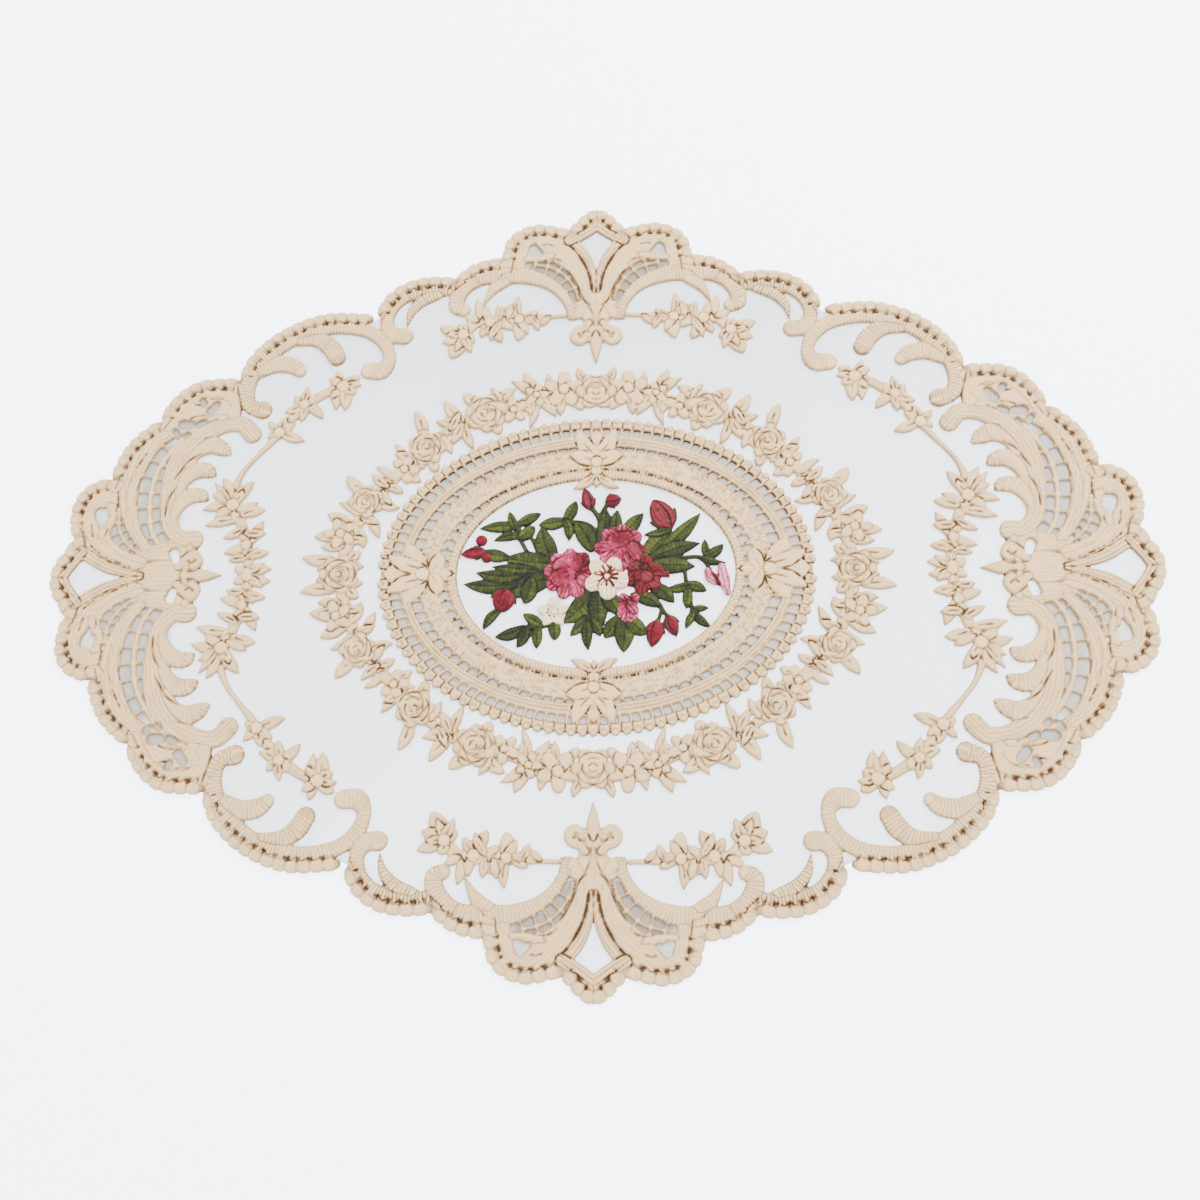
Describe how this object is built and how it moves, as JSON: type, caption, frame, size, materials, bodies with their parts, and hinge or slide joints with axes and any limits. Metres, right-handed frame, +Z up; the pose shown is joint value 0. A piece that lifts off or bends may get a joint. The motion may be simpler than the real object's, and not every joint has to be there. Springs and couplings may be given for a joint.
{
  "type": "lace table mat",
  "caption": "Oval scalloped lace mat that lies flat on a table: beaded scroll border, leafy sprigs, flower wreath, oval ladder-stitched frame and a coloured bouquet on a sheer ground",
  "frame": {"origin": "centre of the mat's outline, on its underside, where it rests on the table", "axes": "+X to the right along the mat's length, +Y to the back across its width, +Z up out of the decorated face"},
  "size_m": [0.449, 0.3324, 0.0027],
  "materials": {
    "sheer_fabric": "sheer off-white organza, fine plain weave",
    "beige_thread": "beige satin stitch and cord with a soft sheen",
    "green_thread": "dark olive green satin stitch",
    "pink_thread": "pink and rose satin stitch in rows",
    "red_thread": "deep crimson satin stitch",
    "cream_thread": "cream satin stitch"
  },
  "bodies": {
    "root": {"blossom_cream": "cream_thread", "blossom_pale": "pink_thread", "blossom_pink": "pink_thread", "bud_drop": "red_thread", "bud_far_left": "red_thread", "bud_large": "red_thread", "bud_left": "red_thread", "bud_small": "red_thread", "bud_top_left": "red_thread", "bud_top_right": "red_thread", "flower_wreath": "beige_thread", "lace_border": "beige_thread", "leaf_spray_01": "green_thread", "leaf_spray_02": "green_thread", "leaf_spray_03": "green_thread", "leaf_spray_04": "green_thread", "leaf_spray_05": "green_thread", "leaf_spray_06": "green_thread", "leaf_spray_07": "green_thread", "leaf_spray_08": "green_thread", "leaf_spray_09": "green_thread", "leaf_spray_10": "green_thread", "oval_frame": "beige_thread", "pansy": "cream_thread", "rose_left": "pink_thread", "rose_red": "red_thread", "rose_right": "pink_thread", "sheer_ground": "sheer_fabric", "sprig_end_left": "beige_thread", "sprig_end_right": "beige_thread", "sprig_left_far": "beige_thread", "sprig_left_near": "beige_thread", "sprig_right_far": "beige_thread", "sprig_right_near": "beige_thread"}
  },
  "joints": []
}
